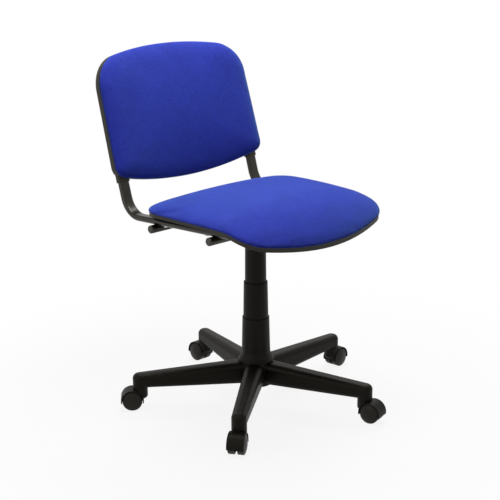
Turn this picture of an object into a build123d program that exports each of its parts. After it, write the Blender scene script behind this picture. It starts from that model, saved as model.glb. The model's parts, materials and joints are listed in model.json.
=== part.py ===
from build123d import *
from math import asin, cos, degrees, radians, sin, sqrt, tan
import os

# Swivel office chair: five-arm castor base, gas lift in a telescopic cover,
# tube frame, padded seat and padded back. Millimetres, +Z up, the sitter faces -Y.
# The origin is on the column axis at floor level.

# ---------------------------------------------------------------- fits and clearances
running_gap = 0.05      # radial play of a shaft in its bearing
seating_gap = 0.02      # play of a part pressed or bonded in its seat
free_gap = 0.3          # gap between parts that move past each other
screw_gap = 0.2         # play of a screw in its hole

# ---------------------------------------------------------------- castors
wheel_radius = 25.0
wheel_edge_radius = 2.5
wheel_dome = 4.0
wheel_hub_radius = 7.0
wheel_rim_wall = 4.0
wheel_face_wall = 3.0
castor_width = 42.0
castor_height = 58.0
castor_trail = 21.0
castor_boss_radius = 18.5
castor_boss_foot = 29.0
castor_boss_rounding = 7.0
fender_wall = 2.8
fender_gap = 1.2
fender_foot = 20.0
fender_rounding = 2.4
web_width = 8.0
web_radius = 16.0
wheel_side_gap = 0.5
wheel_face_recess = 1.5
stem_radius = 5.5
stem_length = 24.0
stem_seat_depth = 14.0
stem_chamfer = 1.1
axle_radius = 3.0

# ---------------------------------------------------------------- star base
arm_count = 5
first_arm_angle = 3.2
castor_swings = (7, 90, 142, 215, 284)     # where each castor trails to, in degrees
arm_reach = 297.5
arm_end_radius = 18.5
arm_end_height = 36.0
arm_root_reach = 32.0
arm_root_width = 50.0
arm_root_height = 61.0
arm_root_foot = 49.0
arm_rounding_share = 0.34
arm_wall = 4.0
rib_thickness = 3.0
rib_count = 3
hub_radius = 43.0
hub_height = 65.0
hub_foot = 49.0
socket_wall = 2.5
socket_cap = 2.0
sleeve_wall = 4.0
sleeve_length = 60.0

# ---------------------------------------------------------------- gas lift
column_radius = 25.0
column_wall = 1.5
column_length = 231.0
column_foot = 54.0
column_floor = 2.5
bush_length = 90.0
bush_flange = 2.0
race_thickness = 2.5
race_radius = 14.0
ball_radius = 2.0
ball_circle_radius = 10.0
ball_count = 10
rod_radius = 5.0
rod_neck_radius = 4.0
rod_tail = 3.5
clip_thickness = 1.6
clip_radius = 8.0
buffer_radius = 12.0
buffer_length = 17.0
lift_down = 110.0
lift_up = 10.0
cylinder_radius = 14.0
cylinder_wall = 2.0
cylinder_top = 480.0
cone_length = 60.0
cone_top_radius = 13.0
valve_body_length = 40.0
seal_length = 20.0
piston_length = 12.0
pin_radius = 4.0
pin_length = 28.0
pin_stand = 6.0
pin_travel = 4.0
pin_chamfer = 1.0

# ---------------------------------------------------------------- telescopic column cover
cover_wall = 1.6
cover_top_wall = 0.9
cover_overlap = 13.0
cover_lip = 2.5
flare_radius = 46.0
flare_height = 26.0
bottom_cover_root_radius = 36.0
bottom_cover_end_radius = 34.1
bottom_cover_end = 226.0
middle_cover_root_radius = 31.9
middle_cover_end_radius = 30.1
middle_cover_end = 319.0
top_cover_root_radius = 27.0
top_cover_end_radius = 26.2
top_cover_end = 406.0

# ---------------------------------------------------------------- tube frame
frame_corner_y = 224.0
frame_corner_height = 486.8
leg_tilt = 3.78
leg_length = 375.0
upright_lean = 16.6
upright_length = 250.0
frame_bend_radius = 56.0
side_tube_spacing = 427.2
side_tube_width = 30.0
side_tube_depth = 15.0
tube_wall = 1.5
cross_tube_radius = 10.0
cross_tube_stand = 19.9
rear_cross_tube_setback = 107.7
cross_tube_spacing = 213.0
plug_collar = 2.0
plug_dome = 4.0
plug_insert = 12.0

# ---------------------------------------------------------------- mounting plate and lever
plate_thickness = 3.0
plate_width = 160.0
plate_overhang = 18.0
plate_corner_radius = 14.0
plate_flange = 12.0
plate_hole_radius = 15.0
cone_socket_radius = 19.0
cone_socket_length = 50.0
plate_bolt_radius = 3.0
plate_bolt_head_radius = 5.5
plate_bolt_head_height = 4.0
plate_bolt_spacing = 120.0
plate_nut_height = 5.0
lever_radius = 4.0
lever_arm = 40.0
lever_tip_overhang = 6.0
lever_crank_start = 92.0
lever_crank_end = 116.0
lever_crank_drop = 21.0
lever_bend_radius = 14.0
lever_reach = 244.0
grip_length = 58.0
grip_radius = 8.0
grip_rounding = 2.6
grip_insert = 40.0
fulcrum_pin_radius = 2.0
fulcrum_boss_radius = 6.5
fulcrum_boss_length = 8.0
ear_thickness = 3.0
ear_width = 18.0
ear_rounding = 6.0

# ---------------------------------------------------------------- seat
seat_overhang = 28.4
seat_taper = 13.0
seat_front = 262.0
seat_rear = 152.0
seat_front_arch = 46.0
seat_rear_arch = 6.0
seat_front_corner_radius = 66.0
seat_rear_corner_radius = 52.0
seat_rim_height = 513.2
seat_slope = 1.0
seat_break = 105.0
seat_front_radius = 271.0
seat_turn_spare = 10.0
seat_rim_depth = 11.5
seat_rim_wall = 3.0
seat_floor_thickness = 2.5
seat_board_thickness = 7.0
seat_board_inset = 18.0
seat_cushion_height = 38.0
seat_side_height = 18.0
seat_front_roll = 200.0
seat_rear_roll = 400.0
seat_rear_roll_start = 20.0
seat_side_spare = 20.0
seat_slab_depth = 80.0
seat_cushion_rounding = 5.0
cover_cloth = 1.2
seat_screw_radius = 3.0
seat_screw_head_radius = 6.0
seat_screw_head_height = 3.5
seat_screw_grip = 5.0
seat_screw_spacing = 150.0
seat_screw_setback = 140.0
seat_boss_radius = 9.0

# ---------------------------------------------------------------- back
back_overhang = 27.0
back_taper = 8.0
back_foot = 69.0
back_height = 341.5
back_top_arch = 32.4
back_foot_arch = 30.7
back_top_corner_radius = 88.0
back_foot_corner_radius = 28.5
back_curve_depth = 25.5
back_rim_stand = 15.0
back_shell_depth = 19.5
back_shell_wall = 2.0
back_shell_rounding = 8.5
back_board_thickness = 8.0
back_board_inset = 8.0
back_cushion_height = 24.5
back_cushion_rounding = 14.0
back_tube_gap = 0.3
collar_wall = 2.5
collar_length = 10.0
back_screw_radius = 2.5
back_screw_head_radius = 4.5
back_screw_head_height = 1.4
back_screw_grip = 3.0
back_screw_height = 140.0
back_screw_spacing = 80.0

# ---------------------------------------------------------------- derived positions
arm_foot = castor_height
hub_top = hub_foot + hub_height
axle_height = wheel_radius
well_radius = wheel_radius + fender_gap
fender_radius = well_radius + fender_wall
socket_radius = stem_radius + running_gap + socket_wall
socket_top = castor_height + stem_length + free_gap

column_top = column_foot + column_length
column_bore = column_radius - column_wall
lower_race_foot = column_foot + column_floor
ball_height = lower_race_foot + race_thickness + ball_radius
upper_race_foot = ball_height + ball_radius + running_gap
rod_shoulder = upper_race_foot + race_thickness
clip_top = column_foot - free_gap
rod_foot = clip_top - clip_thickness - rod_tail
buffer_top = rod_shoulder + buffer_length
cylinder_foot = buffer_top + lift_down + 2 * free_gap
cylinder_bore = cylinder_radius - cylinder_wall
seal_foot = cylinder_foot + cylinder_wall
piston_foot = seal_foot + seal_length + lift_up + 2 * free_gap
rod_top = piston_foot + piston_length
valve_foot = cylinder_top - valve_body_length
cone_foot = cylinder_top - cone_length
pin_top = cylinder_top + pin_stand
pin_foot = pin_top - pin_length

leg_drop = Vector(0, cos(radians(leg_tilt)), -sin(radians(leg_tilt)))
leg_normal = Vector(0, sin(radians(leg_tilt)), cos(radians(leg_tilt)))
upright_rise = Vector(0, sin(radians(upright_lean)), cos(radians(upright_lean)))
upright_front = Vector(0, -cos(radians(upright_lean)), sin(radians(upright_lean)))
frame_corner = Vector(0, frame_corner_y, frame_corner_height)
leg_front = frame_corner - leg_drop * leg_length
upright_top = frame_corner + upright_rise * upright_length
leg_plane = Plane(origin=frame_corner, x_dir=(1, 0, 0), z_dir=leg_normal)
back_plane = Plane(origin=frame_corner, x_dir=(1, 0, 0), z_dir=upright_front)
back_section = Plane(origin=frame_corner, x_dir=(1, 0, 0), z_dir=upright_rise)

tube_offset = side_tube_spacing / 2
cross_tube_length = side_tube_spacing + 2 * cross_tube_stand
cross_tube_drop = side_tube_depth / 2 + cross_tube_radius
rear_tube_y = -rear_cross_tube_setback
front_tube_y = rear_tube_y - cross_tube_spacing
plate_top_plane = leg_plane.offset(-cross_tube_drop - cross_tube_radius)
plate_foot_plane = plate_top_plane.offset(-plate_thickness)
plate_middle_y = (rear_tube_y + front_tube_y) / 2
plate_length = cross_tube_spacing + 2 * plate_overhang
lever_height = pin_top + free_gap + lever_radius
crank_height = lever_height - lever_crank_drop

seat_rear_width = side_tube_spacing + 2 * seat_overhang
seat_front_width = seat_rear_width - 2 * seat_taper
seat_cushion_foot = seat_rim_depth
seat_cushion_top = seat_cushion_foot + seat_cushion_height
seat_crown = seat_cushion_height - seat_side_height
seat_crown_radius = ((seat_rear_width / 2)**2 + seat_crown**2) / (2 * seat_crown)
seat_board_top = seat_cushion_foot + seat_board_thickness
seat_hollow_top = seat_rim_depth - seat_floor_thickness

back_foot_width = side_tube_spacing + 2 * back_overhang
back_top_width = back_foot_width - 2 * back_taper
back_half_width = back_foot_width / 2
back_top = back_foot + back_height
tube_exit = back_foot + back_foot_arch * (tube_offset / back_half_width)**2
back_radius = (back_half_width**2 + back_curve_depth**2) / (2 * back_curve_depth)
back_curve_centre = back_curve_depth - back_rim_stand - back_radius
through_reach = seat_rear_width + back_foot_width     # longer than anything that it cuts through

os.makedirs("parts", exist_ok=True)


def finish_part(piece, name):
    """Label a finished piece and write its STEP file."""
    piece.label = name
    export_step(piece, f"parts/{name}.step")


def polar(radius, angle):
    """Point at a radius and an angle about the column axis."""
    return Vector(radius * cos(radians(angle)), radius * sin(radians(angle)), 0)


# ================================================================ base
def arm_section(reach, width, foot, height):
    """Section of an arm across its length: flat foot, rounded top."""
    with BuildSketch(Plane.YZ.offset(reach)) as section:
        with Locations((0, foot + height / 2)):
            Rectangle(width, height)
        fillet(section.vertices().group_by(Axis.Z)[-1], width * arm_rounding_share)
    return section.sketch


with BuildPart() as arm_body:
    add(arm_section(arm_root_reach, arm_root_width, arm_root_foot, arm_root_height))
    add(arm_section(arm_reach, 2 * arm_end_radius, arm_foot, arm_end_height))
    loft()

with BuildPart() as arm_hollow:
    for reach, width, foot, height in (
            (hub_radius, arm_root_width, arm_root_foot, arm_root_height),
            (arm_reach - arm_end_radius - arm_wall, 2 * arm_end_radius, arm_foot, arm_end_height)):
        add(arm_section(reach, width - 2 * arm_wall, foot - arm_wall, height))
    loft()

with BuildPart() as arm_ribs:
    rib_span = arm_reach - arm_end_radius - hub_radius
    for rib in range(1, rib_count + 1):
        with BuildSketch(Plane.YZ.offset(hub_radius + rib_span * rib / (rib_count + 1))):
            with Locations((0, arm_foot + arm_end_height / 2)):
                Rectangle(arm_root_width, arm_end_height)
        extrude(amount=rib_thickness / 2, both=True)
    add(arm_body.part, mode=Mode.INTERSECT)

with BuildPart() as arm_end:
    with BuildSketch(Plane.XY.offset(arm_foot)):
        with Locations((arm_reach, 0)):
            Circle(arm_end_radius)
    extrude(amount=arm_end_height)
    fillet(arm_end.edges().sort_by(Axis.Z)[-1], 2 * arm_end_radius * arm_rounding_share)

with BuildPart() as arm:
    add(arm_body.part)
    add(arm_hollow.part, mode=Mode.SUBTRACT)
    add(arm_ribs.part)
    add(arm_end.part)

with BuildPart() as base_star:
    with BuildSketch(Plane.XY.offset(hub_foot)):
        Circle(hub_radius)
    extrude(amount=hub_height)
    with PolarLocations(0, arm_count, start_angle=first_arm_angle):
        add(arm.part)
    with BuildSketch(Plane.XY.offset(hub_foot)):
        Circle(column_radius + sleeve_wall + seating_gap)
    extrude(amount=hub_height, mode=Mode.SUBTRACT)
    with BuildSketch(Plane.XY.offset(castor_height)):
        with PolarLocations(arm_reach, arm_count, start_angle=first_arm_angle):
            Circle(socket_radius + seating_gap)
    extrude(amount=socket_top + socket_cap - castor_height + seating_gap, mode=Mode.SUBTRACT)
    with BuildSketch(Plane.XY.offset(castor_height)):
        with PolarLocations(arm_reach, arm_count, start_angle=first_arm_angle):
            Circle(castor_boss_radius + free_gap)
    extrude(amount=arm_root_foot - castor_height, mode=Mode.SUBTRACT)
finish_part(base_star.part, "base_star")

with BuildPart() as castor_sockets:
    with BuildSketch(Plane.XY.offset(castor_height)):
        with PolarLocations(arm_reach, arm_count, start_angle=first_arm_angle):
            Circle(socket_radius)
    extrude(amount=socket_top + socket_cap - castor_height)
    with BuildSketch(Plane.XY.offset(castor_height)):
        with PolarLocations(arm_reach, arm_count, start_angle=first_arm_angle):
            Circle(stem_radius + running_gap)
    extrude(amount=socket_top - castor_height, mode=Mode.SUBTRACT)
finish_part(castor_sockets.part, "castor_sockets")

with BuildPart() as hub_sleeve:
    with BuildSketch(Plane.XY.offset(hub_foot)):
        Circle(column_radius + sleeve_wall)
        Circle(column_radius + seating_gap, mode=Mode.SUBTRACT)
    extrude(amount=sleeve_length)
finish_part(hub_sleeve.part, "hub_sleeve")


# ================================================================ castors
def wheel_section(plane):
    """Half section of a wheel: hub, domed face disc and rim, open on the inner side."""
    bore = axle_radius + running_gap
    inner_face = web_width / 2 + wheel_side_gap
    outer_face = castor_width / 2 - wheel_face_recess
    disc_back = outer_face - wheel_face_wall
    rim_bore = wheel_radius - wheel_rim_wall
    with BuildSketch(plane) as section:
        with BuildLine():
            Polyline((0, disc_back), (bore, disc_back), (bore, inner_face), (wheel_hub_radius, inner_face),
                     (wheel_hub_radius, disc_back), (rim_bore, disc_back), (rim_bore, inner_face),
                     (wheel_radius, inner_face), (wheel_radius, outer_face - wheel_edge_radius))
            JernArc((wheel_radius, outer_face - wheel_edge_radius), (0, 1), wheel_edge_radius, 90)
            TangentArc((0, outer_face + wheel_dome), (wheel_radius - wheel_edge_radius, outer_face),
                       tangent=(1, 0))
            Line((0, outer_face + wheel_dome), (0, disc_back))
        make_face()
    return section.sketch


for number, swing in enumerate(castor_swings, start=1):
    stem_point = polar(arm_reach, first_arm_angle + (number - 1) * 360 / arm_count)
    trail_way = polar(1, swing)
    castor_plane = Plane(origin=stem_point, x_dir=trail_way, z_dir=(0, 0, 1))
    side_plane = Plane(origin=stem_point, x_dir=trail_way, z_dir=polar(1, swing - 90))
    axle_way = polar(1, swing + 90)
    axle_point = stem_point + trail_way * castor_trail + Vector(0, 0, axle_height)
    axle_axis = Axis(axle_point, axle_way)

    with BuildPart() as castor_hood:
        with BuildSketch(side_plane):
            with Locations((castor_trail, axle_height)):
                Circle(fender_radius)
            with Locations((castor_trail, fender_foot)):
                Rectangle(2 * fender_radius, 2 * fender_radius, align=(Align.CENTER, Align.MAX),
                          mode=Mode.SUBTRACT)
        extrude(amount=castor_width / 2, both=True)
        fillet(castor_hood.edges().filter_by(GeomType.CIRCLE), fender_rounding)
        with BuildSketch(castor_plane.offset(castor_boss_foot)):
            Circle(castor_boss_radius)
        extrude(amount=castor_height - free_gap - castor_boss_foot)
        fillet(castor_hood.edges().filter_by(GeomType.CIRCLE).sort_by(Axis.Z)[0], castor_boss_rounding)
        for side in (1, -1):
            with BuildSketch(side_plane.offset(side * web_width / 2)):
                with Locations((castor_trail, axle_height)):
                    Circle(well_radius)
            extrude(amount=side * castor_width, mode=Mode.SUBTRACT)
        with BuildSketch(side_plane):
            with Locations((castor_trail, axle_height)):
                Circle(web_radius)
        extrude(amount=web_width / 2, both=True)
        with BuildSketch(side_plane):
            with Locations((castor_trail, axle_height)):
                Circle(axle_radius + seating_gap)
        extrude(amount=web_width, both=True, mode=Mode.SUBTRACT)
        with BuildSketch(castor_plane.offset(castor_height)):
            Circle(stem_radius + seating_gap)
        extrude(amount=-stem_seat_depth, mode=Mode.SUBTRACT)
    finish_part(castor_hood.part, f"castor_{number}_hood")

    with BuildPart() as castor_pins:
        with BuildSketch(castor_plane.offset(castor_height - stem_seat_depth + seating_gap)):
            Circle(stem_radius)
        extrude(amount=stem_seat_depth - seating_gap + stem_length)
        chamfer(castor_pins.edges().sort_by(Axis.Z)[-1], stem_chamfer)
        with BuildSketch(side_plane):
            with Locations((castor_trail, axle_height)):
                Circle(axle_radius)
        axle_half = castor_width / 2 - wheel_face_recess - wheel_face_wall - free_gap
        extrude(amount=axle_half, both=True)
    finish_part(castor_pins.part, f"castor_{number}_pins")

    for side_name, side in (("left", 1), ("right", -1)):
        section_plane = Plane(origin=axle_point, x_dir=(0, 0, 1), z_dir=trail_way * -side)
        with BuildPart() as castor_wheel:
            add(wheel_section(section_plane))
            revolve(axis=axle_axis)
        finish_part(castor_wheel.part, f"castor_{number}_wheel_{side_name}")


# ================================================================ gas lift
def ring(radius, bore, foot, height):
    """Draw and extrude a plain ring about the column axis in the current part."""
    with BuildSketch(Plane.XY.offset(foot)) as section:
        Circle(radius)
        Circle(bore, mode=Mode.SUBTRACT)
    extrude(to_extrude=section.sketch, amount=height)


with BuildPart() as column_tube:
    ring(column_radius, column_bore, column_foot, column_length)
    ring(column_radius, rod_neck_radius + free_gap, column_foot, column_floor)
finish_part(column_tube.part, "column_tube")

with BuildPart() as column_bush:
    ring(column_bore - seating_gap, cylinder_radius + running_gap, column_top - bush_length, bush_length)
    ring(column_radius - free_gap, cylinder_radius + running_gap, column_top, bush_flange)
finish_part(column_bush.part, "column_bush")

with BuildPart() as bearing_lower_race:
    ring(race_radius, rod_neck_radius + free_gap, lower_race_foot, race_thickness)
finish_part(bearing_lower_race.part, "bearing_lower_race")

with BuildPart() as bearing_balls:
    with Locations(Plane.XY.offset(ball_height)):
        with PolarLocations(ball_circle_radius, ball_count):
            Sphere(ball_radius)
finish_part(bearing_balls.part, "bearing_balls")

with BuildPart() as bearing_upper_race:
    ring(race_radius, rod_neck_radius + seating_gap, upper_race_foot, race_thickness)
finish_part(bearing_upper_race.part, "bearing_upper_race")

with BuildPart() as piston_rod:
    with BuildSketch(Plane.XY.offset(rod_foot)):
        Circle(rod_neck_radius)
    extrude(amount=rod_shoulder - rod_foot)
    with BuildSketch(Plane.XY.offset(rod_shoulder)):
        Circle(rod_radius)
    extrude(amount=rod_top - rod_shoulder)
finish_part(piston_rod.part, "piston_rod")

with BuildPart() as rod_clip:
    ring(clip_radius, rod_neck_radius + seating_gap, clip_top - clip_thickness, clip_thickness)
finish_part(rod_clip.part, "rod_clip")

with BuildPart() as rubber_buffer:
    ring(buffer_radius, rod_radius + seating_gap, rod_shoulder, buffer_length)
finish_part(rubber_buffer.part, "rubber_buffer")

with BuildPart() as rod_piston:
    ring(cylinder_bore - running_gap, rod_radius + seating_gap, piston_foot, piston_length)
finish_part(rod_piston.part, "rod_piston")

with BuildPart() as gas_cylinder:
    with BuildSketch(Plane.XZ):
        with BuildLine():
            Polyline((cylinder_bore, cylinder_foot), (cylinder_radius, cylinder_foot),
                     (cylinder_radius, cone_foot), (cone_top_radius, cylinder_top),
                     (pin_radius + running_gap, cylinder_top),
                     (pin_radius + running_gap, pin_foot - pin_travel), (0, pin_foot - pin_travel),
                     (0, valve_foot), (cylinder_bore, valve_foot), close=True)
        make_face()
    revolve(axis=Axis.Z)
finish_part(gas_cylinder.part, "gas_cylinder")

with BuildPart() as cylinder_seal:
    ring(cylinder_bore - seating_gap, rod_radius + running_gap, seal_foot, seal_length)
finish_part(cylinder_seal.part, "cylinder_seal")

with BuildPart() as release_pin:
    with BuildSketch(Plane.XY.offset(pin_foot)):
        Circle(pin_radius)
    extrude(amount=pin_length)
    chamfer(release_pin.edges().sort_by(Axis.Z)[-1], pin_chamfer)
finish_part(release_pin.part, "release_pin")


# ================================================================ telescopic column cover
with BuildPart() as column_cover_bottom:
    lip_radius = middle_cover_root_radius + free_gap
    flare_top = hub_top + flare_height
    with BuildSketch(Plane.XZ):
        with BuildLine():
            Line((flare_radius - cover_wall, hub_top), (flare_radius, hub_top))
            TangentArc((bottom_cover_root_radius, flare_top), (flare_radius, hub_top), tangent=(0, -1))
            Polyline((bottom_cover_root_radius, flare_top), (bottom_cover_end_radius, bottom_cover_end),
                     (lip_radius, bottom_cover_end), (lip_radius, bottom_cover_end - cover_lip),
                     (bottom_cover_end_radius - cover_wall, bottom_cover_end - cover_lip),
                     (bottom_cover_root_radius - cover_wall, flare_top))
            TangentArc((bottom_cover_root_radius - cover_wall, flare_top),
                       (flare_radius - cover_wall, hub_top), tangent=(0, -1))
        make_face()
    revolve(axis=Axis.Z)
finish_part(column_cover_bottom.part, "column_cover_bottom")

with BuildPart() as column_cover_middle:
    middle_cover_foot = bottom_cover_end - cover_overlap
    lip_radius = top_cover_root_radius + free_gap
    with BuildSketch(Plane.XZ):
        with BuildLine():
            Polyline((middle_cover_root_radius - cover_wall, middle_cover_foot),
                     (middle_cover_root_radius, middle_cover_foot),
                     (middle_cover_end_radius, middle_cover_end),
                     (lip_radius, middle_cover_end), (lip_radius, middle_cover_end - cover_lip),
                     (middle_cover_end_radius - cover_wall, middle_cover_end - cover_lip), close=True)
        make_face()
    revolve(axis=Axis.Z)
finish_part(column_cover_middle.part, "column_cover_middle")

with BuildPart() as column_cover_top:
    top_cover_foot = middle_cover_end - cover_overlap
    with BuildSketch(Plane.XZ):
        with BuildLine():
            Polyline((top_cover_root_radius - cover_top_wall, top_cover_foot),
                     (top_cover_root_radius, top_cover_foot),
                     (top_cover_end_radius, top_cover_end), (cylinder_radius + seating_gap, top_cover_end),
                     (cylinder_radius + seating_gap, top_cover_end - cover_lip),
                     (top_cover_end_radius - cover_top_wall, top_cover_end - cover_lip), close=True)
        make_face()
    revolve(axis=Axis.Z)
finish_part(column_cover_top.part, "column_cover_top")


# ================================================================ tube frame
with BuildPart() as bolt_holes:
    with BuildSketch(plate_foot_plane.offset(-plate_flange)):
        with Locations((0, plate_middle_y)):
            with GridLocations(plate_bolt_spacing, cross_tube_spacing, 2, 2):
                Circle(plate_bolt_radius + screw_gap)
    extrude(amount=2 * cross_tube_drop + plate_flange)

with BuildPart() as seat_screw_holes:
    with BuildSketch(leg_plane.offset(-side_tube_depth)):
        with Locations((0, -seat_screw_setback - seat_screw_spacing / 2)):
            with GridLocations(side_tube_spacing, seat_screw_spacing, 2, 2):
                Circle(seat_screw_radius + screw_gap)
    extrude(amount=2 * side_tube_depth)

with BuildPart() as back_screw_holes:
    with BuildSketch(back_plane.offset(-side_tube_depth)):
        with Locations((0, back_screw_height + back_screw_spacing / 2)):
            with GridLocations(side_tube_spacing, back_screw_spacing, 2, 2):
                Circle(back_screw_radius + screw_gap)
    extrude(amount=2 * side_tube_depth)

frame_path_points = (leg_front, frame_corner, upright_top)
for side_name, side in (("left", 1), ("right", -1)):
    tube_shift = Vector(side * tube_offset, 0, 0)
    with BuildPart() as side_tube:
        with BuildLine():
            FilletPolyline(*[point + tube_shift for point in frame_path_points], radius=frame_bend_radius)
        with BuildSketch(Plane(origin=leg_front + tube_shift, x_dir=(1, 0, 0), z_dir=leg_drop)):
            SlotOverall(side_tube_width, side_tube_depth)
            SlotOverall(side_tube_width - 2 * tube_wall, side_tube_depth - 2 * tube_wall, mode=Mode.SUBTRACT)
        sweep()
        add(seat_screw_holes.part, mode=Mode.SUBTRACT)
        add(back_screw_holes.part, mode=Mode.SUBTRACT)
    finish_part(side_tube.part, f"side_tube_{side_name}")

with BuildPart() as side_tube_plugs:
    for end_point, outward in ((leg_front, leg_drop * -1), (upright_top, upright_rise)):
        for side in (1, -1):
            tube_end = end_point + Vector(side * tube_offset, 0, 0)
            plug_plane = Plane(origin=tube_end, x_dir=(1, 0, 0), z_dir=outward)
            with BuildSketch(plug_plane):
                SlotOverall(side_tube_width, side_tube_depth)
            extrude(amount=plug_collar)
            with BuildSketch(plug_plane):
                SlotOverall(side_tube_width - 2 * (tube_wall + seating_gap),
                            side_tube_depth - 2 * (tube_wall + seating_gap))
            extrude(amount=-plug_insert)
finish_part(side_tube_plugs.part, "side_tube_plugs")

for end_name, tube_y in (("rear", rear_tube_y), ("front", front_tube_y)):
    with BuildPart() as cross_tube:
        tube_centre = leg_plane.from_local_coords((0, tube_y, -cross_tube_drop))
        with BuildSketch(Plane(origin=tube_centre, x_dir=leg_drop, z_dir=(1, 0, 0))):
            Circle(cross_tube_radius)
            Circle(cross_tube_radius - tube_wall, mode=Mode.SUBTRACT)
        extrude(amount=cross_tube_length / 2, both=True)
        add(bolt_holes.part, mode=Mode.SUBTRACT)
    finish_part(cross_tube.part, f"cross_tube_{end_name}")

with BuildPart() as cross_tube_plugs:
    for tube_y in (rear_tube_y, front_tube_y):
        for side in (1, -1):
            end_point = Vector(side * cross_tube_length / 2, tube_y, -cross_tube_drop)
            tube_end = leg_plane.from_local_coords(end_point)
            plug_plane = Plane(origin=tube_end, x_dir=leg_drop, z_dir=(side, 0, 0))
            with BuildSketch(plug_plane):
                Circle(cross_tube_radius)
            extrude(amount=plug_collar + plug_dome)
            fillet(cross_tube_plugs.edges(Select.LAST).sort_by(Axis(tube_end, (side, 0, 0)))[-1], plug_dome)
            with BuildSketch(plug_plane):
                Circle(cross_tube_radius - tube_wall - seating_gap)
            extrude(amount=-plug_insert)
finish_part(cross_tube_plugs.part, "cross_tube_plugs")


# ================================================================ mounting plate
with BuildPart() as mounting_plate:
    for inset, mode in ((0, Mode.ADD), (plate_thickness, Mode.SUBTRACT)):
        with BuildSketch(plate_top_plane.offset(-inset)):
            with Locations((0, plate_middle_y)):
                RectangleRounded(plate_width - 2 * inset, plate_length - 2 * inset,
                                 plate_corner_radius - inset)
        extrude(amount=-plate_flange, mode=mode)
    with BuildSketch(Plane.XY.offset(cone_foot)):
        Circle(plate_hole_radius)
    extrude(amount=2 * cone_length, mode=Mode.SUBTRACT)
    add(bolt_holes.part, mode=Mode.SUBTRACT)
finish_part(mounting_plate.part, "mounting_plate")

with BuildPart() as cone_socket:
    plate_height_at_axis = frame_corner_height + frame_corner_y * tan(radians(leg_tilt)) \
        - (cross_tube_drop + cross_tube_radius + plate_thickness) / cos(radians(leg_tilt))
    socket_foot = plate_height_at_axis - cone_socket_length
    cone_narrowing = (cylinder_radius - cone_top_radius) / cone_length
    socket_foot_bore = cylinder_radius - cone_narrowing * (socket_foot - cone_foot) + seating_gap
    with BuildSketch(Plane.XZ):
        with BuildLine():
            Polyline((socket_foot_bore, socket_foot), (cone_socket_radius, socket_foot),
                     (cone_socket_radius, cylinder_top), (cone_top_radius + seating_gap, cylinder_top),
                     close=True)
        make_face()
    revolve(axis=Axis.Z)
    split(bisect_by=plate_foot_plane, keep=Keep.BOTTOM)
finish_part(cone_socket.part, "cone_socket")

with BuildPart() as plate_bolts:
    bolt_length = plate_thickness + 2 * cross_tube_radius + plate_nut_height
    for foot, radius, length in ((-plate_bolt_head_height, plate_bolt_head_radius, plate_bolt_head_height),
                                 (0, plate_bolt_radius, bolt_length)):
        with BuildSketch(plate_foot_plane.offset(foot)):
            with Locations((0, plate_middle_y)):
                with GridLocations(plate_bolt_spacing, cross_tube_spacing, 2, 2):
                    Circle(radius)
        extrude(amount=length)
    with BuildSketch(plate_foot_plane.offset(plate_thickness + 2 * cross_tube_radius)):
        with Locations((0, plate_middle_y)):
            with GridLocations(plate_bolt_spacing, cross_tube_spacing, 2, 2):
                RegularPolygon(plate_bolt_head_radius, 6, major_radius=False)
    extrude(amount=plate_nut_height)
finish_part(plate_bolts.part, "plate_bolts")


# ================================================================ release lever
bracket_base_top = cylinder_top + free_gap + plate_thickness / 2

with BuildPart() as lever_bracket:
    ear_inner = fulcrum_boss_length / 2 + free_gap
    ear_top = lever_height + fulcrum_boss_radius + ear_thickness / 2
    with BuildSketch(Plane.YZ.offset(lever_arm)):
        with Locations((0, cylinder_top - ear_thickness)):
            Rectangle(2 * (ear_inner + ear_thickness), ear_top - cylinder_top + ear_thickness,
                      align=(Align.CENTER, Align.MIN))
        with Locations((0, bracket_base_top)):
            Rectangle(2 * ear_inner, ear_top, align=(Align.CENTER, Align.MIN), mode=Mode.SUBTRACT)
    extrude(amount=ear_width / 2, both=True)
    fillet(lever_bracket.edges().filter_by(Axis.Y).group_by(Axis.Z)[-1], ear_rounding)
    split(bisect_by=plate_top_plane, keep=Keep.TOP)
    with BuildSketch(Plane.XZ):
        with Locations((lever_arm, lever_height)):
            Circle(fulcrum_pin_radius + seating_gap)
    extrude(amount=ear_width, both=True, mode=Mode.SUBTRACT)
    with BuildSketch(Plane.XZ):
        with Locations((lever_arm, lever_height)):
            Circle(fulcrum_pin_radius)
    extrude(amount=ear_inner + ear_thickness, both=True)
finish_part(lever_bracket.part, "lever_bracket")

with BuildPart() as release_lever:
    lever_tip = Vector(-lever_tip_overhang, 0, lever_height)
    with BuildLine():
        FilletPolyline(lever_tip, (lever_crank_start, 0, lever_height), (lever_crank_end, 0, crank_height),
                       (lever_reach, 0, crank_height), radius=lever_bend_radius)
    with BuildSketch(Plane(origin=lever_tip, z_dir=(1, 0, 0))):
        Circle(lever_radius)
    sweep()
    with BuildSketch(Plane.XZ):
        with Locations((lever_arm, lever_height)):
            Circle(fulcrum_boss_radius)
    extrude(amount=fulcrum_boss_length / 2, both=True)
    with BuildSketch(Plane.XZ):
        with Locations((lever_arm, lever_height)):
            Circle(fulcrum_pin_radius + running_gap)
    extrude(amount=fulcrum_boss_length, both=True, mode=Mode.SUBTRACT)
finish_part(release_lever.part, "release_lever")

with BuildPart() as lever_grip:
    with BuildSketch(Plane(origin=(lever_reach - grip_insert, 0, crank_height), z_dir=(1, 0, 0))):
        Circle(grip_radius)
    extrude(amount=grip_length)
    fillet(lever_grip.edges(), grip_rounding)
    with BuildSketch(Plane(origin=(lever_reach + seating_gap, 0, crank_height), z_dir=(-1, 0, 0))):
        Circle(lever_radius + seating_gap)
    extrude(amount=grip_length, mode=Mode.SUBTRACT)
finish_part(lever_grip.part, "lever_grip")


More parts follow.
